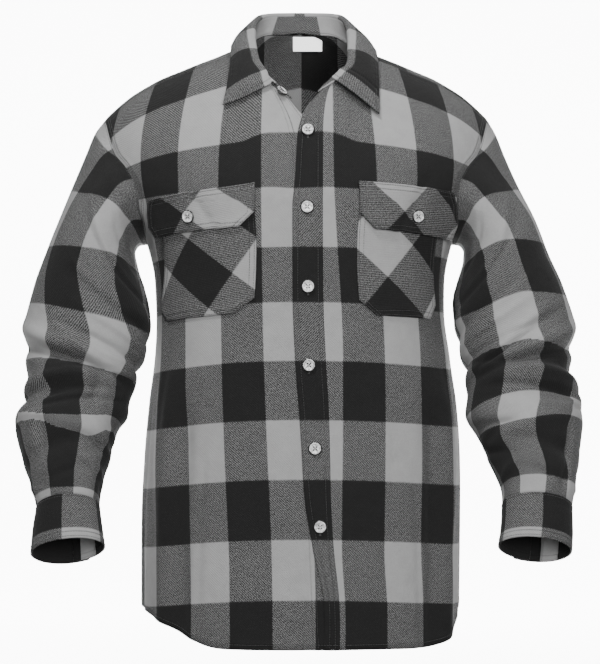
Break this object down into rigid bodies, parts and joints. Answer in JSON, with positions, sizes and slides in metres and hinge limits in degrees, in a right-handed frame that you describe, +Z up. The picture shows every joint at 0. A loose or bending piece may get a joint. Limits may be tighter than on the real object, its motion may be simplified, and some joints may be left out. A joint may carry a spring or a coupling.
{
  "type": "flannel shirt",
  "caption": "Buffalo-check flannel shirt with an open turn-down collar, long sleeves and flapped bias chest pockets, filled out as if worn and hollow inside.",
  "frame": {"origin": "between the shoulders, level with the neck side points of the shoulder seams, where the wearer's shoulders carry the shirt", "axes": "+Z up along the body, +X towards the wearer's left, -Y out of the front"},
  "size_m": [0.7206, 0.2919, 0.8319],
  "materials": {
    "check_flannel": "brushed",
    "pearl_button": "satin",
    "label_cloth": "plain woven"
  },
  "bodies": {
    "root": {"right_front": "check_flannel", "left_front": "check_flannel", "front_placket": "check_flannel", "button_band": "check_flannel", "back": "check_flannel", "yoke": "check_flannel", "collar_stand": "check_flannel", "collar_leaf": "check_flannel", "right_sleeve": "check_flannel", "right_sleeve_placket": "check_flannel", "right_cuff": "check_flannel", "left_sleeve": "check_flannel", "left_sleeve_placket": "check_flannel", "left_cuff": "check_flannel", "right_pocket": "check_flannel", "left_pocket": "check_flannel", "right_pocket_flap": "check_flannel", "left_pocket_flap": "check_flannel", "front_button_1": "pearl_button", "front_button_2": "pearl_button", "front_button_3": "pearl_button", "front_button_4": "pearl_button", "front_button_5": "pearl_button", "front_button_6": "pearl_button", "neck_button": "pearl_button", "right_pocket_button": "pearl_button", "left_pocket_button": "pearl_button", "right_cuff_button": "pearl_button", "left_cuff_button": "pearl_button", "neck_label": "label_cloth"}
  },
  "joints": []
}
